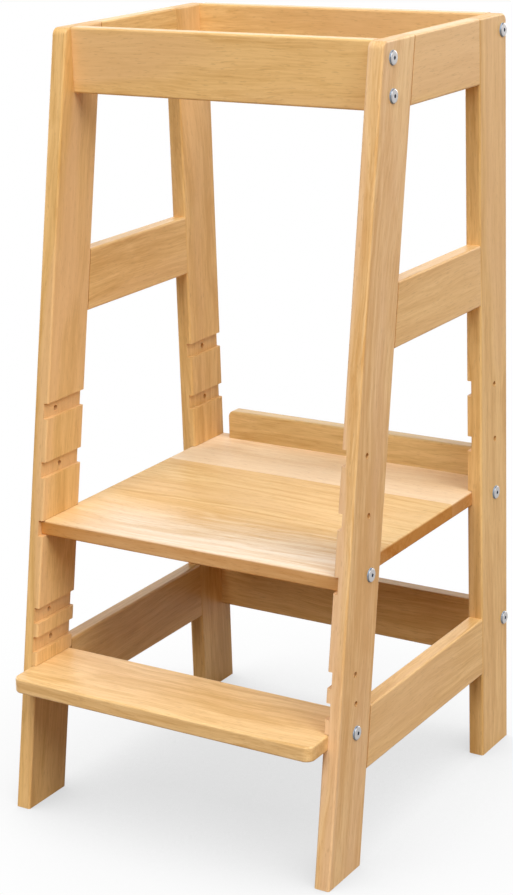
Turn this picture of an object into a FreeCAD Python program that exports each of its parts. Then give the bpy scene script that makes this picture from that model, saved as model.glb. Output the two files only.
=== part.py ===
import FreeCAD, Part
import os
import re
import Sketcher

# Toddler kitchen helper stool: a standing tower of beech boards with a platform and a step that
# hang in grooves of the side frames at one of three heights each. Millimetres, +Z up, the front
# of the stool faces -Y, the origin lies on the floor under the middle of the whole stool, which
# reaches from the front edge of the step to the back edge of the rear feet.

SIZES = [
    # the two side frames
    ("overall_height", 900),
    ("overall_width", 425),
    ("foot_depth", 452),
    ("frame_board", 19),
    ("leg_width", 70),
    ("front_lean", 147),
    ("rear_lean", 10),
    ("leg_corner", 9),
    ("edge_rounding", 2.5),
    # boards between the legs and between the frames
    ("rail_height", 72),
    ("top_rail_height", 74.5),
    ("middle_rail_base", 569),
    ("low_rail_base", 108),
    ("cross_board", 18),
    ("front_rail_setback", 10),
    ("rear_rail_setback", 1),
    # platform, upstand and their grooves
    ("platform_board", 18),
    ("platform_setback", 4.3),
    ("platform_overhang", 1.8),
    ("rear_stave", 124),
    ("platform_base", 323),
    ("platform_pitch", 68),
    ("platform_levels", 3),
    ("platform_shift", 2),
    ("upstand_board", 18),
    ("upstand_height", 36.5),
    ("upstand_length", 352),
    ("upstand_corner", 8),
    # step and its grooves
    ("step_board", 18),
    ("step_depth", 106),
    ("step_reach", 38.8),
    ("step_base", 152.5),
    ("step_pitch", 34),
    ("step_levels", 3),
    ("step_corner", 11),
    ("groove_depth", 6),
    ("groove_clearance", 0.4),
    ("board_end_clearance", 0.1),
    # joint bolts and barrel nuts
    ("shank_radius", 3),
    ("shank_length", 50),
    ("head_radius", 8),
    ("head_height", 2.5),
    ("head_rounding", 2),
    ("shank_chamfer", 1),
    ("hexagon_radius", 2.3),
    ("hexagon_depth", 2.8),
    ("bolt_hole_clearance", 0.25),
    ("thread_clearance", 0.05),
    ("nut_radius", 5),
    ("nut_length", 13),
    ("nut_seat", 42),
    ("nut_slot", 1.2),
    ("nut_clearance", 0.1),
    ("bore_end_clearance", 2),
    # places of the bolts in the boards
    ("rail_bolt_drop", 18.5),
    ("rail_bolt_pitch", 40),
    ("platform_front_inset", 43),
    ("platform_rear_inset", 34),
    ("step_bolt_inset", 28.8),
    ("board_bolt_drop", 1),
    # dowels
    ("dowel_radius", 4),
    ("dowel_clearance", 0.05),
    ("frame_dowel_length", 36),
    ("short_dowel_length", 30),
    ("dowel_chamfer", 0.8),
    ("dowel_end_clearance", 0.5),
    ("frame_dowel_base", 14),
    ("frame_dowel_pitch", 24),
    ("upstand_dowel_pitch", 130),
    ("upstand_dowel_depth", 12),
    ("rear_dowel_depth", 10),
]

SIDES = {"left": -1, "right": 1}
NORMAL_SIGN = {"XY_Plane": 1, "XZ_Plane": -1, "YZ_Plane": 1}
SMALLEST_CUT = 1
SAME_PLACE = 0.001
FULL_TURN = 360

doc = FreeCAD.newDocument("toddler_helper_stool")
sheet = doc.addObject("Spreadsheet::Sheet", "sizes")
for row, (alias, number) in enumerate(SIZES, start=1):
    sheet.set(f"A{row}", str(number))
    sheet.setAlias(f"A{row}", alias)
doc.recompute()

nodes = []


# ---------------------------------------------------------------- expressions

SIZE_NAMES = re.compile(r"\b(" + "|".join(name for name, _ in SIZES) + r")\b")


def cells(formula):
    """Point the names of a formula at the cells of the sheet."""
    return SIZE_NAMES.sub(r"sizes.\1", formula)


def bind(thing, name, formula):
    thing.setExpression(name, cells(formula))


def value(formula):
    return float(sheet.evalExpression(cells(formula)))


STEP_TOP = "(step_base + step_board)"
TOTAL_DEPTH = f"(foot_depth + step_reach - front_lean * {STEP_TOP} / overall_height)"


def front_leg_front(height):
    return f"(front_lean * ({height}) / overall_height + {TOTAL_DEPTH} / 2 - foot_depth)"


def front_leg_back(height):
    return f"({front_leg_front(height)} + leg_width * sqrt(1 + (front_lean / overall_height) ^ 2))"


def rear_leg_back(height):
    return f"({TOTAL_DEPTH} / 2 - rear_lean * ({height}) / overall_height)"


def rear_leg_front(height):
    return f"({rear_leg_back(height)} - leg_width * sqrt(1 + (rear_lean / overall_height) ^ 2))"


def outer_face(sign):
    return f"({sign} * overall_width / 2)"


def inner_face(sign):
    return f"({sign} * (overall_width / 2 - frame_board))"


def middle_face(sign):
    return f"({sign} * (overall_width - frame_board) / 2)"


def nut_line(sign):
    return f"({sign} * (overall_width / 2 - nut_seat))"


BOARD_END = "(overall_width / 2 - frame_board + groove_depth - board_end_clearance)"
RAIL_END = "(overall_width / 2 - frame_board)"
BOLT_HOLE = "(shank_radius + bolt_hole_clearance)"
NUT_HOLE = "(nut_radius + nut_clearance)"
DOWEL_HOLE = "(dowel_radius + dowel_clearance)"

TOP_RAIL_BASE = "(overall_height - top_rail_height)"
FRONT_RAIL_FRONT = f"({front_leg_front('overall_height')} + front_rail_setback)"
REAR_TOP_BACK = f"({rear_leg_back('overall_height')} - rear_rail_setback)"
REAR_LOW_BACK = f"({rear_leg_back('(low_rail_base + rail_height)')} - rear_rail_setback)"

PLATFORM_TOP = "(platform_base + platform_board)"
PLATFORM_BACK = f"({rear_leg_back(PLATFORM_TOP)} + platform_overhang)"
PLATFORM_FRONT = f"({front_leg_front(PLATFORM_TOP)} + platform_setback)"
REAR_SEAM = f"({PLATFORM_BACK} - rear_stave)"
FRONT_SEAM = f"(({PLATFORM_FRONT} + {REAR_SEAM}) / 2)"
STEP_FRONT = f"({front_leg_front(STEP_TOP)} - step_reach)"
STEP_BACK = f"({STEP_FRONT} + step_depth)"

# middle line (y, z) of every bolt, on both sides of the stool
FRONT_RAIL_MIDDLE = f"({FRONT_RAIL_FRONT} + cross_board / 2)"
REAR_TOP_MIDDLE = f"({REAR_TOP_BACK} - cross_board / 2)"
REAR_LOW_MIDDLE = f"({REAR_LOW_BACK} - cross_board / 2)"
TOP_BOLT_LEVEL = "(overall_height - rail_bolt_drop)"
TOP_SECOND_LEVEL = "(overall_height - rail_bolt_drop - rail_bolt_pitch)"
LOW_BOLT_LEVEL = "(low_rail_base + rail_height - rail_bolt_drop)"
LOW_SECOND_LEVEL = "(low_rail_base + rail_height - rail_bolt_drop - rail_bolt_pitch)"
PLATFORM_BOLT_LEVEL = "(platform_base + platform_board / 2 - board_bolt_drop)"
STEP_BOLT_LEVEL = "(step_base + step_board / 2 - board_bolt_drop)"

FRONT_RAIL_BOLTS = [(FRONT_RAIL_MIDDLE, TOP_BOLT_LEVEL), (FRONT_RAIL_MIDDLE, TOP_SECOND_LEVEL)]
REAR_TOP_BOLTS = [(REAR_TOP_MIDDLE, TOP_BOLT_LEVEL)]
REAR_LOW_BOLTS = [(REAR_LOW_MIDDLE, LOW_BOLT_LEVEL)]
REAR_TOP_DOWELS = [(REAR_TOP_MIDDLE, TOP_SECOND_LEVEL)]
REAR_LOW_DOWELS = [(REAR_LOW_MIDDLE, LOW_SECOND_LEVEL)]
PLATFORM_BOLTS = {
    "front": (f"({PLATFORM_FRONT} + platform_front_inset)", PLATFORM_BOLT_LEVEL),
    "rear": (f"({PLATFORM_BACK} - platform_rear_inset)", PLATFORM_BOLT_LEVEL),
}
STEP_BOLT = (f"({STEP_BACK} - step_bolt_inset)", STEP_BOLT_LEVEL)
UPSTAND_MIDDLE = f"({PLATFORM_BACK} - upstand_board / 2)"
UPSTAND_DOWELS = ["(-upstand_dowel_pitch)", "0", "upstand_dowel_pitch"]

# base and height of the rails that join the legs of a side frame
SIDE_RAILS = {
    "top": (TOP_RAIL_BASE, "top_rail_height"),
    "middle": ("middle_rail_base", "rail_height"),
    "bottom": ("low_rail_base", "rail_height"),
}


# ------------------------------------------------------------ sketches and features

def new_body(label):
    body = doc.addObject("PartDesign::Body", label)
    body.Label = label
    return body


def sketch_on(body, role, name, place="0"):
    """A sketch parallel to one of the body's own origin planes, at a place along its normal."""
    plane = next(feature for feature in body.Origin.OriginFeatures if feature.Role == role)
    sketch = body.newObject("Sketcher::SketchObject", name)
    sketch.AttachmentSupport = [(plane, "")]
    sketch.MapMode = "FlatFace"
    bind(sketch, "AttachmentOffset.Base.z", f"{NORMAL_SIGN[role]} * ({place})")
    return sketch


def dimension(sketch, constraint, formula):
    bind(sketch, f"Constraints[{sketch.addConstraint(constraint)}]", formula)


def pin(sketch, geometry, point, across, up):
    dimension(sketch, Sketcher.Constraint("DistanceX", -1, 1, geometry, point, value(across)), across)
    dimension(sketch, Sketcher.Constraint("DistanceY", -1, 1, geometry, point, value(up)), up)


def polygon(sketch, corners):
    places = [FreeCAD.Vector(value(across), value(up), 0) for across, up in corners]
    following = places[1:] + places[:1]
    lines = sketch.addGeometry([Part.LineSegment(a, b) for a, b in zip(places, following)], False)
    for line, next_line in zip(lines, lines[1:] + lines[:1]):
        sketch.addConstraint(Sketcher.Constraint("Coincident", line, 2, next_line, 1))
    for line, (across, up) in zip(lines, corners):
        pin(sketch, line, 1, across, up)


def rectangle(sketch, low_across, high_across, low_up, high_up):
    polygon(sketch, [(low_across, low_up), (high_across, low_up),
                     (high_across, high_up), (low_across, high_up)])


def circle(sketch, across, up, radius):
    middle = FreeCAD.Vector(value(across), value(up), 0)
    shape = Part.Circle(middle, FreeCAD.Vector(0, 0, 1), value(radius))
    geometry = sketch.addGeometry(shape, False)
    dimension(sketch, Sketcher.Constraint("Radius", geometry, value(radius)), radius)
    pin(sketch, geometry, 3, across, up)


def pad(body, sketch, name, length, side_type="One side"):
    feature = body.newObject("PartDesign::Pad", name)
    feature.Profile = sketch
    feature.SideType = side_type
    bind(feature, "Length", length)
    doc.recompute()


def pocket(body, sketch, name, length, side_type="One side", along_normal=False):
    """Cut a sketch into the body, and make sure that it took something away."""
    volume = body.Shape.Volume
    feature = body.newObject("PartDesign::Pocket", name)
    feature.Profile = sketch
    feature.SideType = side_type
    feature.Reversed = along_normal
    bind(feature, "Length", length)
    doc.recompute()
    if volume - body.Shape.Volume < SMALLEST_CUT:
        raise RuntimeError(f"{body.Label}: {name} cuts nothing")
    return feature


def repeat_upwards(body, feature, sketch, pitch, count):
    volume = body.Shape.Volume
    pattern = body.newObject("PartDesign::LinearPattern", f"{feature.Name}_levels")
    pattern.Originals = [feature]
    pattern.Direction = (sketch, ["V_Axis"])
    pattern.Mode = "Spacing"
    bind(pattern, "Offset", pitch)
    bind(pattern, "Occurrences", count)
    body.Tip = pattern
    doc.recompute()
    if value(count) > 1 and volume - body.Shape.Volume < SMALLEST_CUT:
        raise RuntimeError(f"{body.Label}: {feature.Name} isn't repeated")


def soften(body, name, radius, wanted, kind="PartDesign::Fillet", size_name="Radius"):
    """Round or chamfer the edges of the body that the test picks."""
    base = body.Tip
    names = [f"Edge{number}" for number, edge in enumerate(base.Shape.Edges, start=1)
             if wanted(edge)]
    if not names:
        raise RuntimeError(f"{body.Label}: {name} finds no edge")
    feature = body.newObject(kind, name)
    feature.Base = (base, names)
    bind(feature, size_name, radius)
    doc.recompute()


def lies_at(edge, axis, place):
    """True if both ends of the edge are at this place along the axis."""
    return all(abs(getattr(vertex.Point, axis) - place) < SAME_PLACE for vertex in edge.Vertexes)


def runs_along(edge, axis):
    ends = [vertex.Point for vertex in edge.Vertexes]
    if len(ends) < 2:
        return False
    step = ends[1] - ends[0]
    return abs(abs(getattr(step, axis)) - step.Length) < SAME_PLACE


def keep(node):
    nodes.append(node)


# ---------------------------------------------------------------- side frames

def dowel_levels(base):
    return [f"({base} + frame_dowel_base)", f"({base} + frame_dowel_base + frame_dowel_pitch)"]


def joint_line(end, base, height):
    """Where a side rail meets the leg, taken at the middle of the rail's height."""
    middle = f"({base} + {height} / 2)"
    return front_leg_back(middle) if end == "front" else rear_leg_front(middle)


def bore_dowels(body, sign, end, rail, name):
    base, height = SIDE_RAILS[rail]
    sketch = sketch_on(body, "XZ_Plane", f"{name}_sketch", joint_line(end, base, height))
    for level in dowel_levels(base):
        circle(sketch, middle_face(sign), level, DOWEL_HOLE)
    length = "frame_dowel_length + 2 * dowel_end_clearance"
    pocket(body, sketch, name, length, side_type="Symmetric")


def round_board(body, faces, foot=None):
    """Round every edge that lies in one of the board's two broad faces, except at the foot."""
    def wanted(edge):
        at_foot = foot is not None and lies_at(edge, "z", foot)
        return not at_foot and any(lies_at(edge, "x", place) for place in faces)
    soften(body, f"{body.Label}_rounding", "edge_rounding", wanted)


def cut_grooves(body, sign, name, span, base, board, pitch, levels):
    """Grooves right across the inner face of a leg, one above the other."""
    sketch = sketch_on(body, "YZ_Plane", f"{name}_sketch", inner_face(sign))
    rectangle(sketch, span[0], span[1], base, f"{base} + {board} + groove_clearance")
    groove = pocket(body, sketch, name, "groove_depth", along_normal=sign > 0)
    repeat_upwards(body, groove, sketch, pitch, levels)


def drill_leg(body, sign, name, places):
    sketch = sketch_on(body, "YZ_Plane", f"{name}_sketch", middle_face(sign))
    for across, up in places:
        circle(sketch, across, up, BOLT_HOLE)
    pocket(body, sketch, name, "frame_board", side_type="Symmetric")


def adjusting_holes(place, pitch, levels, shift="0"):
    """Bolt holes for each height of a board, moved forward by the shift from one to the next."""
    across, up = place
    return [(f"({across} - {level} * {shift})", f"({up} + {level} * {pitch})")
            for level in range(round(value(levels)))]


def leg(side, end):
    sign = SIDES[side]
    body = new_body(f"{end}_leg_{side}")
    if end == "front":
        outside, inside = front_leg_front, front_leg_back
        span = (f"{outside('0')} - frame_board", f"{inside('overall_height')} + frame_board")
        rail_bolts = FRONT_RAIL_BOLTS
    else:
        outside, inside = rear_leg_back, rear_leg_front
        span = (f"{inside('overall_height')} - frame_board", f"{outside('0')} + frame_board")
        rail_bolts = REAR_TOP_BOLTS + REAR_LOW_BOLTS
    outline = sketch_on(body, "YZ_Plane", f"{body.Label}_outline", middle_face(sign))
    polygon(outline, [(outside("0"), "0"), (inside("0"), "0"),
                      (inside("overall_height"), "overall_height"),
                      (outside("overall_height"), "overall_height")])
    pad(body, outline, f"{body.Label}_board", "frame_board", side_type="Symmetric")

    top = value("overall_height")
    corner = value(outside("overall_height"))
    soften(body, f"{body.Label}_corner", "leg_corner",
           lambda edge: lies_at(edge, "z", top) and lies_at(edge, "y", corner))
    round_board(body, [value(outer_face(sign)), value(inner_face(sign))], foot=0)

    cut_grooves(body, sign, f"{body.Label}_platform_groove", span, "platform_base",
                "platform_board", "platform_pitch", "platform_levels")
    if end == "front":
        cut_grooves(body, sign, f"{body.Label}_step_groove", span, "step_base",
                    "step_board", "step_pitch", "step_levels")
    holes = adjusting_holes(PLATFORM_BOLTS[end], "platform_pitch", "platform_levels",
                            "platform_shift")
    if end == "front":
        holes += adjusting_holes(STEP_BOLT, "step_pitch", "step_levels")
    drill_leg(body, sign, f"{body.Label}_bolt_holes", holes + rail_bolts)

    for rail in SIDE_RAILS:
        bore_dowels(body, sign, end, rail, f"{body.Label}_{rail}_dowel_holes")
    if end == "rear":
        length = "2 * (rear_dowel_depth + dowel_end_clearance)"
        bores = sketch_on(body, "YZ_Plane", f"{body.Label}_cross_dowel_sketch", inner_face(sign))
        for across, up in REAR_TOP_DOWELS + REAR_LOW_DOWELS:
            circle(bores, across, up, DOWEL_HOLE)
        pocket(body, bores, f"{body.Label}_cross_dowels", length, side_type="Symmetric")
    keep(body)


def side_rail(side, rail):
    sign = SIDES[side]
    base, height = SIDE_RAILS[rail]
    top = f"({base} + {height})"
    body = new_body(f"{rail}_side_rail_{side}")
    outline = sketch_on(body, "YZ_Plane", f"{body.Label}_outline", middle_face(sign))
    polygon(outline, [(front_leg_back(base), base), (rear_leg_front(base), base),
                      (rear_leg_front(top), top), (front_leg_back(top), top)])
    pad(body, outline, f"{body.Label}_board", "frame_board", side_type="Symmetric")
    faces = [value(outer_face(sign)), value(inner_face(sign))]
    soften(body, f"{body.Label}_rounding", "edge_rounding",
           lambda edge: runs_along(edge, "y") and any(lies_at(edge, "x", x) for x in faces))
    for end in ("front", "rear"):
        bore_dowels(body, sign, end, rail, f"{body.Label}_{end}_dowel_holes")
    keep(body)


# ---------------------------------------------------------------- boards across the stool

def drill_board_ends(body, places):
    """Bolt bores that run along X into both ends of a board, past the barrel nut."""
    for side, sign in SIDES.items():
        name = f"{body.Label}_{side}_bolt_bores"
        depth = "2 * (shank_length + bore_end_clearance)"
        sketch = sketch_on(body, "YZ_Plane", f"{name}_sketch", outer_face(sign))
        for across, up in places:
            circle(sketch, across, up, BOLT_HOLE)
        pocket(body, sketch, name, depth, side_type="Symmetric")


def drill_nuts_along_y(body, back, levels):
    """Blind barrel nut bores from the hidden back face of an upright cross rail."""
    name = f"{body.Label}_nut_bores"
    sketch = sketch_on(body, "XZ_Plane", f"{name}_sketch", back)
    for sign in SIDES.values():
        for level in levels:
            circle(sketch, nut_line(sign), level, NUT_HOLE)
    pocket(body, sketch, name, "(cross_board + nut_length) / 2 + nut_clearance", along_normal=True)


def drill_nuts_from_below(body, base, board, across):
    """Blind barrel nut bores from the underside of a level board."""
    name = f"{body.Label}_nut_bores"
    sketch = sketch_on(body, "XY_Plane", f"{name}_sketch", base)
    for sign in SIDES.values():
        circle(sketch, nut_line(sign), across, NUT_HOLE)
    depth = f"({board} + nut_length) / 2 - board_bolt_drop + nut_clearance"
    pocket(body, sketch, name, depth, along_normal=True)


def cross_rail(label, back, base, height, bolts, dowels):
    """An upright board between the side frames, held by bolts and, at the rear, dowels."""
    body = new_body(label)
    outline = sketch_on(body, "XZ_Plane", f"{label}_outline", f"{back} - cross_board / 2")
    rectangle(outline, f"-{RAIL_END}", RAIL_END, base, f"{base} + {height}")
    pad(body, outline, f"{label}_board", "cross_board", side_type="Symmetric")
    soften(body, f"{label}_rounding", "edge_rounding", lambda edge: runs_along(edge, "x"))
    drill_board_ends(body, bolts)
    drill_nuts_along_y(body, back, [up for _, up in bolts])
    if dowels:
        for side, sign in SIDES.items():
            name = f"{label}_{side}_dowel_bore"
            sketch = sketch_on(body, "YZ_Plane", f"{name}_sketch", inner_face(sign))
            for across, up in dowels:
                circle(sketch, across, up, DOWEL_HOLE)
            depth = "2 * (short_dowel_length - rear_dowel_depth + dowel_end_clearance)"
            pocket(body, sketch, name, depth, side_type="Symmetric")
    keep(body)


def level_board(label, front, back, base, board):
    body = new_body(label)
    outline = sketch_on(body, "XY_Plane", f"{label}_outline", base)
    rectangle(outline, f"-{BOARD_END}", BOARD_END, front, back)
    pad(body, outline, f"{label}_board", board)
    return body


def round_platform_stave(body, free_edges):
    """Round the ends of a stave and the long edges that aren't glued."""
    faces = [value("platform_base"), value(PLATFORM_TOP)]
    ends = [value(BOARD_END), -value(BOARD_END)]

    def wanted(edge):
        if not any(lies_at(edge, "z", place) for place in faces):
            return False
        at_end = any(lies_at(edge, "x", place) for place in ends)
        return at_end or any(lies_at(edge, "y", place) for place in free_edges)
    soften(body, f"{body.Label}_rounding", "edge_rounding", wanted)


def platform():
    front = level_board("platform_front_stave", PLATFORM_FRONT, FRONT_SEAM, "platform_base",
                        "platform_board")
    round_platform_stave(front, [value(PLATFORM_FRONT)])
    middle = level_board("platform_middle_stave", FRONT_SEAM, REAR_SEAM, "platform_base",
                         "platform_board")
    round_platform_stave(middle, [])
    rear = level_board("platform_rear_stave", REAR_SEAM, PLATFORM_BACK, "platform_base",
                       "platform_board")
    round_platform_stave(rear, [value(PLATFORM_BACK)])
    for body, end in ((front, "front"), (rear, "rear")):
        drill_board_ends(body, [PLATFORM_BOLTS[end]])
        drill_nuts_from_below(body, "platform_base", "platform_board", PLATFORM_BOLTS[end][0])
    bore_upstand_dowels(rear, "upstand_dowel_depth")
    for body in (front, middle, rear):
        keep(body)


def bore_upstand_dowels(body, depth):
    name = f"{body.Label}_dowel_bores"
    sketch = sketch_on(body, "XY_Plane", f"{name}_sketch", PLATFORM_TOP)
    for across in UPSTAND_DOWELS:
        circle(sketch, across, UPSTAND_MIDDLE, DOWEL_HOLE)
    pocket(body, sketch, name, f"2 * ({depth} + dowel_end_clearance)", side_type="Symmetric")


def upstand():
    body = new_body("upstand")
    half = "(upstand_length / 2)"
    top = f"({PLATFORM_TOP} + upstand_height)"
    outline = sketch_on(body, "XZ_Plane", "upstand_outline", UPSTAND_MIDDLE)
    rectangle(outline, f"-{half}", half, PLATFORM_TOP, top)
    pad(body, outline, "upstand_board_pad", "upstand_board", side_type="Symmetric")
    ends = [value(half), -value(half)]
    soften(body, "upstand_corners", "upstand_corner",
           lambda edge: lies_at(edge, "z", value(top)) and any(lies_at(edge, "x", x) for x in ends))
    faces = [value(PLATFORM_BACK), value(f"{PLATFORM_BACK} - upstand_board")]
    soften(body, "upstand_rounding", "edge_rounding",
           lambda edge: any(lies_at(edge, "y", y) for y in faces)
           and not lies_at(edge, "z", value(PLATFORM_TOP)))
    bore_upstand_dowels(body, "short_dowel_length - upstand_dowel_depth")
    keep(body)


def step():
    body = level_board("step", STEP_FRONT, STEP_BACK, "step_base", "step_board")
    front = value(STEP_FRONT)
    soften(body, "step_corners", "step_corner",
           lambda edge: runs_along(edge, "z") and lies_at(edge, "y", front))
    faces = [value("step_base"), value(STEP_TOP)]
    soften(body, "step_rounding", "edge_rounding",
           lambda edge: any(lies_at(edge, "z", place) for place in faces))
    drill_board_ends(body, [STEP_BOLT])
    drill_nuts_from_below(body, "step_base", "step_board", STEP_BOLT[0])
    keep(body)


# ---------------------------------------------------------------- fasteners

def bolt_pattern_piece():
    """Joint bolt: flat round head on the +X side of the origin, shank towards -X."""
    body = new_body("joint_bolt")
    outline = sketch_on(body, "XZ_Plane", "bolt_outline")
    polygon(outline, [("-shank_length", "0"), ("-shank_length", "shank_radius - shank_chamfer"),
                      ("shank_chamfer - shank_length", "shank_radius"), ("0", "shank_radius"),
                      ("0", "head_radius"), ("head_height", "head_radius"), ("head_height", "0")])
    turned = body.newObject("PartDesign::Revolution", "bolt_turned")
    turned.Profile = outline
    turned.ReferenceAxis = (outline, ["H_Axis"])
    turned.Angle = FULL_TURN
    doc.recompute()
    rim = value("head_height")
    soften(body, "bolt_head_rounding", "head_rounding",
           lambda edge: lies_at(edge, "x", rim) and edge.Length > 2 * rim)
    recess = sketch_on(body, "YZ_Plane", "bolt_hexagon", "head_height")
    polygon(recess, [(f"hexagon_radius * cos({angle})", f"hexagon_radius * sin({angle})")
                     for angle in range(0, FULL_TURN, FULL_TURN // 6)])
    pocket(body, recess, "bolt_recess", "hexagon_depth")
    return body


def nut_pattern_piece():
    """Barrel nut: axis along Z, threaded hole along X, screwdriver slot in the lower end."""
    body = new_body("barrel_nut")
    outline = sketch_on(body, "XY_Plane", "nut_outline")
    circle(outline, "0", "0", "nut_radius")
    pad(body, outline, "nut_barrel", "nut_length", side_type="Symmetric")
    thread = sketch_on(body, "YZ_Plane", "nut_thread_sketch")
    circle(thread, "0", "0", "shank_radius + thread_clearance")
    pocket(body, thread, "nut_thread", "2 * nut_radius + nut_slot", side_type="Symmetric")
    slot = sketch_on(body, "XY_Plane", "nut_slot_sketch", "-nut_length / 2")
    rectangle(slot, "-nut_slot / 2", "nut_slot / 2", "-nut_radius - nut_slot",
              "nut_radius + nut_slot")
    pocket(body, slot, "nut_slot_cut", "nut_slot", along_normal=True)
    return body


def dowel_pattern_piece(label, length):
    """Dowel with its axis along Y and chamfered ends."""
    body = new_body(label)
    outline = sketch_on(body, "XZ_Plane", f"{label}_outline")
    circle(outline, "0", "0", "dowel_radius")
    pad(body, outline, f"{label}_pin", length, side_type="Symmetric")
    half = value(length) / 2
    soften(body, f"{label}_chamfer", "dowel_chamfer",
           lambda edge: lies_at(edge, "y", half) or lies_at(edge, "y", -half),
           kind="PartDesign::Chamfer", size_name="Size")
    return body


NO_TURN = FreeCAD.Rotation()
HALF_TURN = FreeCAD.Rotation(FreeCAD.Vector(0, 0, 1), 180)
QUARTER_TURN_X = FreeCAD.Rotation(FreeCAD.Vector(1, 0, 0), 90)
QUARTER_TURN_Z = FreeCAD.Rotation(FreeCAD.Vector(0, 0, 1), 90)
BOLT_TURN = {"left": HALF_TURN, "right": NO_TURN}


def copy_of(piece, label, place, turn=NO_TURN):
    link = doc.addObject("App::Link", label)
    link.Label = label
    link.LinkedObject = piece
    link.Placement = FreeCAD.Placement(FreeCAD.Vector(*[value(part) for part in place]), turn)
    for axis, part in zip("xyz", place):
        bind(link, f"Placement.Base.{axis}", part)
    return link


def group(label, piece, places, turn=NO_TURN):
    """One node that holds several equal fasteners as separate solids."""
    compound = doc.addObject("Part::Compound", label)
    compound.Label = label
    compound.Links = [copy_of(piece, f"{label}_{number}", place, turn)
                      for number, place in enumerate(places, start=1)]
    doc.recompute()
    keep(compound)


def fasteners():
    bolt = bolt_pattern_piece()
    nut = nut_pattern_piece()
    frame_dowel = dowel_pattern_piece("frame_dowel", "frame_dowel_length")
    short_dowel = dowel_pattern_piece("short_dowel", "short_dowel_length")
    rail_bolts = FRONT_RAIL_BOLTS + REAR_TOP_BOLTS + REAR_LOW_BOLTS

    for side, sign in SIDES.items():
        turn = BOLT_TURN[side]
        seat = outer_face(sign)
        group(f"frame_bolts_{side}", bolt, [(seat, *place) for place in rail_bolts], turn)
        group(f"frame_barrel_nuts_{side}", nut,
              [(nut_line(sign), *place) for place in rail_bolts], QUARTER_TURN_X)
        for end, place in PLATFORM_BOLTS.items():
            group(f"platform_bolt_{end}_{side}", bolt, [(seat, *place)], turn)
        group(f"step_bolt_{side}", bolt, [(seat, *STEP_BOLT)], turn)
        group(f"side_frame_dowels_{side}", frame_dowel,
              [(middle_face(sign), joint_line(end, base, height), level)
               for base, height in SIDE_RAILS.values() for end in ("front", "rear")
               for level in dowel_levels(base)])

    group("platform_barrel_nuts", nut,
          [(nut_line(sign), *place) for place in PLATFORM_BOLTS.values()
           for sign in SIDES.values()])
    group("step_barrel_nuts", nut, [(nut_line(sign), *STEP_BOLT) for sign in SIDES.values()])
    group("rear_rail_dowels", short_dowel,
          [(f"{inner_face(sign)} + {sign} * (rear_dowel_depth - short_dowel_length / 2)", *place)
           for sign in SIDES.values() for place in REAR_TOP_DOWELS + REAR_LOW_DOWELS],
          QUARTER_TURN_Z)
    group("upstand_dowels", short_dowel,
          [(across, UPSTAND_MIDDLE,
            f"{PLATFORM_TOP} - upstand_dowel_depth + short_dowel_length / 2")
           for across in UPSTAND_DOWELS], QUARTER_TURN_X)


# ---------------------------------------------------------------- the whole stool

for side in SIDES:
    for end in ("front", "rear"):
        leg(side, end)
    for rail in SIDE_RAILS:
        side_rail(side, rail)
cross_rail("front_top_rail", f"({FRONT_RAIL_FRONT} + cross_board)", TOP_RAIL_BASE,
           "top_rail_height", FRONT_RAIL_BOLTS, [])
cross_rail("rear_top_rail", REAR_TOP_BACK, TOP_RAIL_BASE, "top_rail_height",
           REAR_TOP_BOLTS, REAR_TOP_DOWELS)
cross_rail("rear_bottom_rail", REAR_LOW_BACK, "low_rail_base", "rail_height",
           REAR_LOW_BOLTS, REAR_LOW_DOWELS)
platform()
upstand()
step()
fasteners()
doc.recompute()

for thing in doc.Objects:
    if "Invalid" in thing.State or "Error" in thing.State:
        raise RuntimeError(f"{thing.Label} failed: {thing.State}")
for node in nodes:
    if node.Shape.isNull() or not node.Shape.isValid() or not node.Shape.Solids:
        raise RuntimeError(f"{node.Label} has no valid solid")

os.makedirs("parts", exist_ok=True)
for node in nodes:
    node.Shape.exportStep(f"parts/{node.Label}.step")
print(f"{len(nodes)} nodes, {sum(len(node.Shape.Solids) for node in nodes)} solids")
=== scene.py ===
import math

import bpy
from mathutils import Matrix, Vector


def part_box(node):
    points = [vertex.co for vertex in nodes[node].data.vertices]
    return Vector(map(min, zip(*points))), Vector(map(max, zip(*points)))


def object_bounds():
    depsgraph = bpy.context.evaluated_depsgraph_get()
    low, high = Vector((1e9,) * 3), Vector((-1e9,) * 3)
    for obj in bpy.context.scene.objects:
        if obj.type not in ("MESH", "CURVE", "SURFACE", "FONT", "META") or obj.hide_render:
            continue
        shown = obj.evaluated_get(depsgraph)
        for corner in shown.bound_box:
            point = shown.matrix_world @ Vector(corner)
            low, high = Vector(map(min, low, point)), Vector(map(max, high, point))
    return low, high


# Looks of a toddler kitchen helper stool: clear-lacquered beech boards with zinc-plated bolts and
# turned steel barrel nuts, on a white studio floor. Metres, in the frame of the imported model: +Z up,
# the step and the climb-in side face -Y, +X to the right of a person who stands in front.

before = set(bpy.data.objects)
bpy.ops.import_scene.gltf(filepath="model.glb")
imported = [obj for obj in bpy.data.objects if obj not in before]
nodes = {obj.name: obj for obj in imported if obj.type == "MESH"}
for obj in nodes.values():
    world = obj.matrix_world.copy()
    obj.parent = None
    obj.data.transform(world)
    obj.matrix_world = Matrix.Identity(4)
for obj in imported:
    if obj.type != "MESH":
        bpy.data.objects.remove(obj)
cad_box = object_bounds()
scene = bpy.context.scene

SIDES = ("left", "right")

# how far the front legs lean to the rear, and the rear legs to the front, over the stool's height
STOOL_HEIGHT = cad_box[1].z
FRONT_LEAN = 0.147
REAR_LEAN = 0.010

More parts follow.
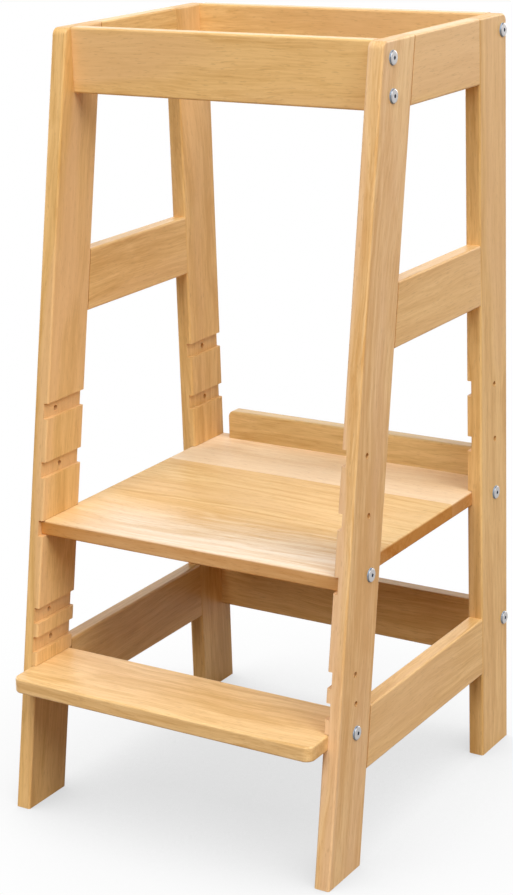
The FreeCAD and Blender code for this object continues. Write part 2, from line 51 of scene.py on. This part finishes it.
# tones, as sRGB: pale, deep and blush of each kind of board
BEECH = ((238, 197, 133), (212, 163, 95), (232, 190, 137))
LEFT_LEG_BEECH = ((234, 192, 128), (207, 160, 92), (231, 188, 138))
# the front right leg's tones are paler partly as painted sheen on its front faces, and the step's
# partly as painted light on its top
FRONT_BEECH_AND_PAINTED_SHEEN = ((242, 205, 150), (216, 166, 102), (237, 199, 162))
UPSTAND_BEECH = ((218, 184, 128), (191, 153, 94), (209, 175, 127))
STEP_BEECH_AND_PAINTED_LIGHT = ((243, 205, 147), (214, 168, 104), (237, 196, 146))
# the front and rear staves are paler wood, and paler still as painted sheen on their tops
FRONT_STAVE_AND_PAINTED_SHEEN = ((250, 236, 217), (229, 199, 158), (246, 223, 196))
WARM_STAVE = ((240, 205, 148), (212, 160, 95), (233, 193, 138))
PALE_STAVE_AND_PAINTED_SHEEN = ((251, 228, 194), (229, 194, 148), (246, 217, 181))
DOWEL_BEECH = ((222, 192, 150), (200, 166, 120), (214, 180, 140))

# sRGB tones that a stave is multiplied by where the painted sheen on its upper face fades, and under
# that pale painted sheen
FADED_PAINTED_SHEEN = (244, 221, 175)
UNDER_PAINTED_SHEEN = (225, 191, 147)

# other sRGB tones: beech cut across, its short dashes, the metals, among them painted shade and a
# painted reflection on the bolt heads, and the light off the floor
END_GRAIN = (206, 158, 98)
DASH = (150, 98, 52)
ZINC_FACE = (190, 188, 188)
# dark metal: painted shade on the rims of the bolt heads and the walls of their recesses, and the dark
# of the nuts' lathe marks
DARK_METAL_AND_PAINTED_RIM_SHADE = (62, 65, 71)
# pale bluish painted reflection, not metal, at the bottom of the bolt heads' recesses, and the tone of
# the shanks
RECESS_PAINTED_REFLECTION = (140, 164, 192)
NUT_STEEL = (158, 160, 164)
FLOOR_BOUNCE = (136, 109, 72)

# the sRGB curve: a straight line up to its knee, and a power above it
SRGB_KNEE = 0.04045
SRGB_SLOPE = 12.92
SRGB_OFFSET = 0.055
SRGB_POWER = 2.4


def linear(level):
    """One level of an sRGB colour, from 0 to 255, made linear."""
    part = level / 255
    if part <= SRGB_KNEE:
        return part / SRGB_SLOPE
    return ((part + SRGB_OFFSET) / (1 + SRGB_OFFSET)) ** SRGB_POWER


def colour(srgb):
    """A colour written as sRGB, as the linear one that shaders take."""
    return (*map(linear, srgb), 1)


# ---------------------------------------------------------------- nodes

class Shader:
    """Short calls that add nodes to one tree. What they take is a number or another node's output."""

    def __init__(self, tree):
        self.tree = tree

    def put(self, kind, inputs=None, **settings):
        """A new node with these inputs, by name or number, and these settings."""
        made = self.tree.nodes.new(kind)
        for name, setting in settings.items():
            setattr(made, name, setting)
        for name, source in (inputs or {}).items():
            if isinstance(source, bpy.types.NodeSocket):
                self.tree.links.new(source, made.inputs[name])
            else:
                made.inputs[name].default_value = source
        return made

    def math(self, operation, *terms):
        return self.put("ShaderNodeMath", dict(enumerate(terms)), operation=operation).outputs[0]

    def total(self, first, *others):
        for other in others:
            first = self.math("ADD", first, other)
        return first

    def around(self, source, swing):
        """A noise from 0 to 1, as a swing around nought."""
        return self.math("MULTIPLY", self.math("SUBTRACT", source, 0.5), swing)

    def around_middle(self, source, middle, swing):
        """A noise from 0 to 1, as a swing around a middle."""
        return self.total(self.around(source, swing), middle)

    def vector(self, operation, *terms):
        return self.put("ShaderNodeVectorMath", dict(enumerate(terms)),
                        operation=operation).outputs["Vector"]

    def length(self, vector):
        return self.put("ShaderNodeVectorMath", {0: vector}, operation="LENGTH").outputs["Value"]

    def join(self, x, y, z):
        return self.put("ShaderNodeCombineXYZ", {"X": x, "Y": y, "Z": z}).outputs[0]

    def split(self, vector):
        return self.put("ShaderNodeSeparateXYZ", {"Vector": vector}).outputs

    def noise(self, vector, detail=1.0, output="Fac"):
        """Noise with features about one unit apart."""
        return self.put("ShaderNodeTexNoise", {"Vector": vector, "Scale": 1.0,
                                               "Detail": detail}).outputs[output]

    def features(self, place, per_metre, detail=1.0, output="Fac"):
        """Noise with a number of features per metre along each axis."""
        return self.noise(self.vector("MULTIPLY", place, per_metre), detail, output)

    def stray(self, place, per_metre, swing):
        """How far a place strays along each axis, as noises that swing around nought."""
        noises = self.features(place, per_metre, output="Color")
        return self.vector("MULTIPLY", self.vector("SUBTRACT", noises, (0.5, 0.5, 0.5)), swing)

    def ease(self, source, low, high):
        """0 at low and before it, 1 at high and past it, and smooth between."""
        return self.put("ShaderNodeMapRange", {"Value": source, "From Min": low, "From Max": high},
                        interpolation_type="SMOOTHSTEP").outputs["Result"]

    def mix(self, factor, first, second, blend="MIX"):
        return self.put("ShaderNodeMix", {0: factor, 6: first, 7: second}, data_type="RGBA",
                        blend_type=blend).outputs[2]

    def between(self, factor, first, second):
        """The number at a share of the way from first to second."""
        return self.put("ShaderNodeMix", {0: factor, 2: first, 3: second},
                        data_type="FLOAT").outputs[0]

    def surface(self, looks, height, relief):
        """The material's surface. The relief is its strength and its depth."""
        strength, depth = relief
        bump = self.put("ShaderNodeBump", {"Height": height, "Strength": strength,
                                           "Distance": depth})
        made = self.put("ShaderNodeBsdfPrincipled", {**looks, "Normal": bump.outputs[0]})
        self.put("ShaderNodeOutputMaterial", {"Surface": made.outputs[0]})


def new_material(name):
    """An empty material, and the calls that add its nodes."""
    material = bpy.data.materials.new(name)
    material.use_nodes = True
    material.node_tree.nodes.clear()
    return material, Shader(material.node_tree)


def dress(names, material):
    """Gives CAD nodes a material."""
    for name in names:
        nodes[name].data.materials.clear()
        nodes[name].data.materials.append(material)


# ---------------------------------------------------------------- beech

# features per metre along, across and through a board
WANDER_RATES = (1.6, 3.0, 3.0)
WAVER_RATES = (9.0, 20.0, 20.0)
STREAK_RATES = (5.0, 130.0, 130.0)
THREAD_RATES = (22.0, 480.0, 480.0)
FIBRE_RATES = (45.0, 1500.0, 1500.0)
DASH_RATES = (85.0, 800.0, 800.0)

# how far the fibre strays along, across and through a board, from one side to the other
WANDER_SWING = (0.0, 0.07, 0.05)
WAVER_SWING = (0.0, 0.012, 0.012)

# features per metre outwards from the heart and along the board, and a place of their own in the
# noise that keeps one layer from repeating another
BANDS = (60.0, 1.6, 0.5)
RINGS = (230.0, 3.5, 4.5)
BLUSHES = (42.0, 1.2, 9.5)

# the middle of the rings, across and through a board
HEART = (0, 0.012, -0.07)

# how far each layer moves the wood between its pale and its deep tone
BAND_CONTRAST = 1.8
RING_CONTRAST = 1.2
STREAK_CONTRAST = 1.7
THREAD_CONTRAST = 1.3
FIBRE_CONTRAST = 0.7
MIDDLE_TONE = 0.5

# where in their noise blushes and dashes begin and are full, and how squarely a face is cut across
# the grain where end grain does
BLUSH_EDGES = (0.45, 0.65)
DASH_EDGES = (0.60, 0.72)
END_GRAIN_EDGES = (0.72, 0.92)

# how much of their tone shows at most
BLUSH_SHARE = 0.6
DASH_SHARE = 0.2
END_GRAIN_SHARE = 0.3

# roughness of the lacquer, and what fibre and end grain add at most
LACQUER_ROUGHNESS = 0.34
FIBRE_ROUGHNESS = 0.14
END_GRAIN_ROUGHNESS = 0.12

# relief: how deep a dash is against the fibre, and the strength and depth of the whole
DASH_DEPTH = 0.5
BEECH_RELIEF = (0.12, 0.0003)

# sheen of the lacquer
SATIN = {"Specular IOR Level": 0.22, "Coat Weight": 0.1, "Coat Roughness": 0.3}
MATT = {"Specular IOR Level": 0.03}

# strength of the figure of bands, rings and streaks
CALM_FIGURE = 0.75
USUAL_FIGURE = 0.95
LIVELY_FIGURE = 1.2

# metres along the tree from one numbered cut to the next
CUT_SPACING = 3.7

# painted sheen: a pale skin on a stave's upper face, standing for the light on its lacquer, over
# darker
# wood: its depth, and where it begins to fade and is gone, in half widths to the rear and half
# lengths to the right of a stave's middle
PAINTED_SHEEN_DEPTH = 0.003
REAR_FADE = (-0.6, 1)
LEFT_FADE = (-0.4, -1.1)


def grain_group():
    """Colour, roughness and relief of beech. Place is metres along, across and through a board."""
    tree = bpy.data.node_groups.new("beech_grain", "ShaderNodeTree")
    for name, kind in (("Place", "Vector"), ("Normal", "Vector"), ("Heart", "Vector"),
                       ("Pale", "Color"), ("Deep", "Color"), ("Blush", "Color"),
                       ("Figure", "Float")):
        tree.interface.new_socket(name=name, in_out="INPUT", socket_type=f"NodeSocket{kind}")
    for name, kind in (("Color", "Color"), ("Roughness", "Float"), ("Height", "Float")):
        tree.interface.new_socket(name=name, in_out="OUTPUT", socket_type=f"NodeSocket{kind}")
    shader = Shader(tree)
    given = shader.put("NodeGroupInput").outputs
    place = given["Place"]
    along = shader.split(place)[0]

    # everything in the wood but its finest fibre follows a way that wanders along the board
    grown = place
    for per_metre, swing in ((WANDER_RATES, WANDER_SWING), (WAVER_RATES, WAVER_SWING)):
        grown = shader.vector("ADD", grown, shader.stray(place, per_metre, swing))

    # rings round the heart of the tree
    from_heart = shader.vector("SUBTRACT", grown, given["Heart"])
    radius = shader.length(shader.vector("MULTIPLY", from_heart, (0.0, 1.0, 1.0)))

    def ring_noise(outwards, lengthwise, layer, detail=1.0):
        return shader.noise(shader.join(shader.math("MULTIPLY", radius, outwards),
                                        shader.math("MULTIPLY", along, lengthwise), layer), detail)

    bands = ring_noise(*BANDS)
    rings = ring_noise(*RINGS, detail=2.0)
    blush = shader.ease(ring_noise(*BLUSHES), *BLUSH_EDGES)
    streaks = shader.features(grown, STREAK_RATES, detail=2.0)
    threads = shader.features(grown, THREAD_RATES, detail=2.0)
    fibre = shader.features(place, FIBRE_RATES, detail=2.0)
    dashes = shader.ease(shader.features(grown, DASH_RATES), *DASH_EDGES)

    figure = shader.total(shader.around(bands, BAND_CONTRAST), shader.around(rings, RING_CONTRAST),
                          shader.around(streaks, STREAK_CONTRAST))
    tone = shader.total(shader.math("MULTIPLY", figure, given["Figure"]),
                        shader.around(threads, THREAD_CONTRAST),
                        shader.around(fibre, FIBRE_CONTRAST), MIDDLE_TONE)
    wood = shader.mix(tone, given["Deep"], given["Pale"])
    wood = shader.mix(shader.math("MULTIPLY", blush, BLUSH_SHARE), wood, given["Blush"])
    wood = shader.mix(shader.math("MULTIPLY", dashes, DASH_SHARE), wood, colour(DASH))

    # faces cut across the grain show it end on, fine and nearly plain
    facing_along = shader.math("ABSOLUTE", shader.split(given["Normal"])[0])
    cut_across = shader.ease(facing_along, *END_GRAIN_EDGES)
    wood = shader.mix(shader.math("MULTIPLY", cut_across, END_GRAIN_SHARE), wood,
                      colour(END_GRAIN))

    roughness = shader.math("MULTIPLY_ADD", fibre, FIBRE_ROUGHNESS, LACQUER_ROUGHNESS)
    roughness = shader.total(roughness, shader.math("MULTIPLY", cut_across, END_GRAIN_ROUGHNESS))
    height = shader.math("SUBTRACT", fibre, shader.math("MULTIPLY", dashes, DASH_DEPTH))
    shader.put("NodeGroupOutput", {"Color": wood, "Roughness": roughness, "Height": height})
    return tree


GRAIN = grain_group()


def grain_turn(along, across):
    """The turn that brings a board's length onto X and its width onto Y."""
    along, across = Vector(along).normalized(), Vector(across).normalized()
    return Matrix((along, across, along.cross(across))).to_euler()


FRONT_LEG_TURN = grain_turn((0, FRONT_LEAN, STOOL_HEIGHT), (0, STOOL_HEIGHT, -FRONT_LEAN))
REAR_LEG_TURN = grain_turn((0, -REAR_LEAN, STOOL_HEIGHT), (0, STOOL_HEIGHT, REAR_LEAN))
SIDE_RAIL_TURN = grain_turn((0, 1, 0), (0, 0, 1))
CROSS_RAIL_TURN = grain_turn((1, 0, 0), (0, 0, 1))
LEVEL_BOARD_TURN = grain_turn((1, 0, 0), (0, 1, 0))
STANDING_DOWEL_TURN = grain_turn((0, 0, 1), (0, 1, 0))


def paint_top_sheen(shader, wood, centred, low, high, fades):
    """Painted sheen: darker wood under the pale upper face and, where the painted sheen fades, to
    the rear and at the left.
    """
    half_length, half_width, half_thickness = (high - low) / 2
    rightwards, rearwards, upwards = shader.split(centred)
    if fades:
        to_rear = shader.ease(rearwards, *(edge * half_width for edge in REAR_FADE))
        at_left = shader.ease(rightwards, *(edge * half_length for edge in LEFT_FADE))
        faded = shader.math("MAXIMUM", to_rear, at_left)
        wood = shader.mix(faded, wood, colour(FADED_PAINTED_SHEEN), blend="MULTIPLY")
    below = shader.ease(upwards, half_thickness, half_thickness - PAINTED_SHEEN_DEPTH)
    return shader.mix(below, wood, colour(UNDER_PAINTED_SHEEN), blend="MULTIPLY")


def board(name, turn, tones, cut, figure=USUAL_FIGURE, sheen=SATIN, painted_sheen=None):
    """Lacquered beech on one node. The cut numbers the place in the tree that the wood is from, so
    that no two boards look alike. Painted sheen on the upper face, pale over darker wood, is "even"
    or "fading"."""
    material, shader = new_material(f"{name}_beech")
    low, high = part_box(name)
    where = shader.put("ShaderNodeTexCoord").outputs
    centred = shader.vector("SUBTRACT", where["Object"], (low + high) / 2)
    place = shader.put("ShaderNodeMapping", {"Vector": centred, "Rotation": turn,
                                             "Location": (CUT_SPACING * cut, 0, 0)}).outputs[0]
    normal = shader.put("ShaderNodeMapping", {"Vector": where["Normal"], "Rotation": turn},
                        vector_type="VECTOR").outputs[0]
    pale, deep, blush = map(colour, tones)
    grain = shader.put("ShaderNodeGroup", {
        "Place": place, "Normal": normal, "Heart": HEART, "Pale": pale, "Deep": deep,
        "Blush": blush, "Figure": figure}, node_tree=GRAIN).outputs
    wood = grain["Color"]
    # a pale upper face over darker wood, as painted sheen
    if painted_sheen:
        wood = paint_top_sheen(shader, wood, centred, low, high, fades=painted_sheen == "fading")
    shader.surface({"Base Color": wood, "Roughness": grain["Roughness"], **sheen},
                   grain["Height"], BEECH_RELIEF)
    dress([name], material)


def boards():
    """All the wood. The cuts are numbered in turn, but for the front top rail's, which is given for
    its looks."""
    board("front_leg_left", FRONT_LEG_TURN, LEFT_LEG_BEECH, 1)
    board("front_leg_right", FRONT_LEG_TURN, FRONT_BEECH_AND_PAINTED_SHEEN, 2)
    for number, side in enumerate(SIDES):
        board(f"rear_leg_{side}", REAR_LEG_TURN, BEECH, 3 + number)
        for level, place in enumerate(("top", "middle", "bottom")):
            board(f"{place}_side_rail_{side}", SIDE_RAIL_TURN, BEECH,
                  5 + len(SIDES) * level + number)
    for name, cut in (("front_top_rail", 31), ("rear_top_rail", 12), ("rear_bottom_rail", 13)):
        board(name, CROSS_RAIL_TURN, BEECH, cut, figure=CALM_FIGURE)
    board("upstand", CROSS_RAIL_TURN, UPSTAND_BEECH, 14)
    # the staves' upper faces carry painted sheen, even on the middle and rear ones and fading on the
    # front one
    for number, (place, tones, slot, painted_sheen) in enumerate((
            ("front", FRONT_STAVE_AND_PAINTED_SHEEN, "panel_wood", "fading"),
            ("middle", WARM_STAVE, "panel_wood", "even"),
            ("rear", PALE_STAVE_AND_PAINTED_SHEEN, "pale_panel_wood", "even"))):
        board(f"platform_{place}_stave", LEVEL_BOARD_TURN, tones, 15 + number,
              figure=LIVELY_FIGURE, sheen=MATT, painted_sheen=painted_sheen)
    board("step", LEVEL_BOARD_TURN, STEP_BEECH_AND_PAINTED_LIGHT, 18)
    for number, side in enumerate(SIDES):
        board(f"side_frame_dowels_{side}", SIDE_RAIL_TURN, DOWEL_BEECH, 19 + number)
    board("rear_rail_dowels", CROSS_RAIL_TURN, DOWEL_BEECH, 21)
    board("upstand_dowels", STANDING_DOWEL_TURN, DOWEL_BEECH, 22)


# ---------------------------------------------------------------- hardware

# the side frames' outer face, which the bolt heads sit on, and how far outside it the plate of the
# head begins and is full
BOLT_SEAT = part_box("front_leg_right")[1].x
HEAD_EDGES = (0.0008, 0.0016)

# how squarely a face of the head looks sideways where its bright flat begins and is full
FLAT_EDGES = (0.45, 0.9)

# clouds in the plate, per metre, with the middle and the swing of what they do
CLOUD_RATES = (700, 700, 700)
CLOUD_BRIGHTNESS = (0.95, 0.2)
CLOUD_ROUGHNESS = (0.36, 0.2)
ZINC_METALLIC = 0.85
ZINC_RELIEF = (0.1, 0.0002)

# marks of the lathe, per metre, with the middle and the swing of their roughness
LATHE_RATES = (300, 4000, 4000)
LATHE_ROUGHNESS = (0.35, 0.15)
STEEL_RELIEF = (0.1, 0.0001)


def bolt_zinc():
    """Zinc plate: bright on the flat of the head, painted shade on its rim and the walls of the
    recess, and pale bluish, as a painted reflection, at the bottom of the recess and on the shank."""
    material, shader = new_material("bolt_zinc")
    where = shader.put("ShaderNodeTexCoord").outputs
    facing = shader.math("ABSOLUTE", shader.split(where["Normal"])[0])
    out = shader.math("ABSOLUTE", shader.split(where["Object"])[0])
    on_head = shader.ease(out, *(BOLT_SEAT + edge for edge in HEAD_EDGES))
    bright = shader.math("MULTIPLY", shader.ease(facing, *FLAT_EDGES), on_head)
    cloud = shader.features(where["Object"], CLOUD_RATES, detail=3.0)
    bright = shader.math("MULTIPLY", bright, shader.around_middle(cloud, *CLOUD_BRIGHTNESS))
    # painted bluish reflection off the head, painted shade on the head where it is not the bright flat
    plate = shader.mix(on_head, colour(RECESS_PAINTED_REFLECTION), colour(DARK_METAL_AND_PAINTED_RIM_SHADE))
    plate = shader.mix(bright, plate, colour(ZINC_FACE))
    shader.surface({"Base Color": plate,
                    "Roughness": shader.around_middle(cloud, *CLOUD_ROUGHNESS),
                    "Metallic": shader.math("MULTIPLY", on_head, ZINC_METALLIC)},
                   cloud, ZINC_RELIEF)
    return material


def nut_steel():
    """Plain turned steel with fine marks of the lathe."""
    material, shader = new_material("nut_steel")
    where = shader.put("ShaderNodeTexCoord").outputs
    turned = shader.features(where["Object"], LATHE_RATES, detail=2.0)
    steel = shader.mix(turned, colour(DARK_METAL_AND_PAINTED_RIM_SHADE), colour(NUT_STEEL))
    shader.surface({"Base Color": steel,
                    "Roughness": shader.around_middle(turned, *LATHE_ROUGHNESS),
                    "Metallic": 1.0}, turned, STEEL_RELIEF)
    return material


def hardware():
    dress([name for name in nodes if "bolt" in name], bolt_zinc())
    dress([name for name in nodes if "nut" in name], nut_steel())


# ---------------------------------------------------------------- studio

# the floor lies this far under the feet, so that their faces don't coincide
FLOOR_DROP = 0.0002
FLOOR_SIZE = 80

# the stool's shade on the floor: how far off the stool keeps light away, how open the floor is
# where the shade begins and is full, and how dark it is at most, as seen and as mirrored
SHADE_REACH = 0.5
SHADE_EDGES = (0.97, 0.03)
SHADE_SEEN = 0.37
SHADE_MIRRORED = 0.9
SHADE_SAMPLES = 16

# strength of the surroundings as a light on the stool, and as a background
WHITE = (1, 1, 1, 1)
WORLD_LIGHT = 0.0
WORLD_SEEN = 1.0

# the softboxes: the place that they face, their distance from it, and the azimuth, elevation, width
# and light of each, with its angles in degrees
LAMP_AIM = Vector((0, 0, 0.45))
LAMP_DISTANCE = 12
SOFTBOXES = {
    "overhead": (40, 62, 45, 0.48),
    "front": (0, 33, 26, 0.44),
    "right": (80, 38, 36, 0.52),
    "left": (-95, 10, 35, 0.50),
    "back": (175, 10, 35, 0.42),
    "rim": (-148, 17, 34, 0.08),
}

# the photograph's camera: angles in degrees, sensor and lens in millimetres, and the shift in
# lengths of the picture's longer side
CAMERA_PLACE = (1.2613, -2.0191, 1.1598)
CAMERA_AZIMUTH = 31.96
CAMERA_ELEVATION = 15.09
CAMERA_ROLL = -1.6
CAMERA_SHIFT = -0.0978
SENSOR = 36
LENS = 85.95


def seen_directly(shader):
    """1 for rays that show a thing as it looks, straight, mirrored or through glass."""
    path = shader.put("ShaderNodeLightPath").outputs
    seen = shader.math("MAXIMUM", path["Is Camera Ray"], path["Is Glossy Ray"])
    return shader.math("MAXIMUM", seen, path["Is Transmission Ray"])


def floor():
    """White floor with a soft shade where the stool keeps the light of the room away."""
    bpy.ops.mesh.primitive_plane_add(size=FLOOR_SIZE, location=(0, 0, -FLOOR_DROP))
    plane = bpy.context.object
    plane.name = "studio_floor"
    material, shader = new_material("studio_floor")
    open_to_room = shader.put("ShaderNodeAmbientOcclusion", {"Distance": SHADE_REACH},
                              samples=SHADE_SAMPLES).outputs["AO"]
    mirrored = shader.put("ShaderNodeLightPath").outputs["Is Glossy Ray"]
    shade = shader.math("MULTIPLY", shader.ease(open_to_room, *SHADE_EDGES),
                        shader.between(mirrored, SHADE_SEEN, SHADE_MIRRORED))
    shown = shader.put("ShaderNodeEmission", {"Color": WHITE,
                                              "Strength": shader.math("SUBTRACT", 1.0, shade)})
    bounce = shader.put("ShaderNodeBsdfDiffuse", {"Color": colour(FLOOR_BOUNCE)})
    both = shader.put("ShaderNodeMixShader", {0: seen_directly(shader), 1: bounce.outputs[0],
                                              2: shown.outputs[0]})
    shader.put("ShaderNodeOutputMaterial", {"Surface": both.outputs[0]})
    plane.data.materials.append(material)


def surroundings():
    """A white background that gives the stool no light."""
    world = bpy.data.worlds.new("studio")
    world.use_nodes = True
    world.node_tree.nodes.clear()
    scene.world = world
    shader = Shader(world.node_tree)
    strength = shader.between(seen_directly(shader), WORLD_LIGHT, WORLD_SEEN)
    background = shader.put("ShaderNodeBackground", {"Color": WHITE, "Strength": strength})
    shader.put("ShaderNodeOutputWorld", {"Surface": background.outputs[0]})


def towards(azimuth, elevation):
    """The way from the stool, in degrees from the front towards the right and up from level."""
    turn, up = math.radians(azimuth), math.radians(elevation)
    return Vector((math.sin(turn) * math.cos(up), -math.cos(turn) * math.cos(up), math.sin(up)))


def put_in_scene(name, data, place, turn):
    """A lamp or a camera as an object of the scene."""
    made = bpy.data.objects.new(name, data)
    scene.collection.objects.link(made)
    made.location = place
    made.rotation_euler = turn
    return made


def softbox(name, azimuth, elevation, width, light):
    """A round lamp. The width is the angle in degrees that the stool sees it at. A light of 1 shows
    a surface that faces the lamp in its own colour."""
    out = towards(azimuth, elevation)
    radius = LAMP_DISTANCE * math.tan(math.radians(width / 2))
    source = bpy.data.lights.new(name, "AREA")
    source.shape = "DISK"
    source.size = 2 * radius
    source.energy = light * math.pi ** 2 * (radius ** 2 + LAMP_DISTANCE ** 2)
    put_in_scene(name, source, LAMP_AIM + LAMP_DISTANCE * out, out.to_track_quat("Z", "Y").to_euler())


def lamps():
    for name, settings in SOFTBOXES.items():
        softbox(f"{name}_softbox", *settings)


def camera():
    data = bpy.data.cameras.new("photograph")
    data.sensor_width = SENSOR
    data.lens = LENS
    data.shift_y = CAMERA_SHIFT
    ahead = -towards(CAMERA_AZIMUTH, CAMERA_ELEVATION)
    roll = Matrix.Rotation(math.radians(CAMERA_ROLL), 3, "Z")
    turn = (ahead.to_track_quat("-Z", "Y").to_matrix() @ roll).to_euler()
    scene.camera = put_in_scene("photograph", data, CAMERA_PLACE, turn)


boards()
hardware()
floor()
surroundings()
lamps()
camera()
scene.view_settings.view_transform = "Standard"
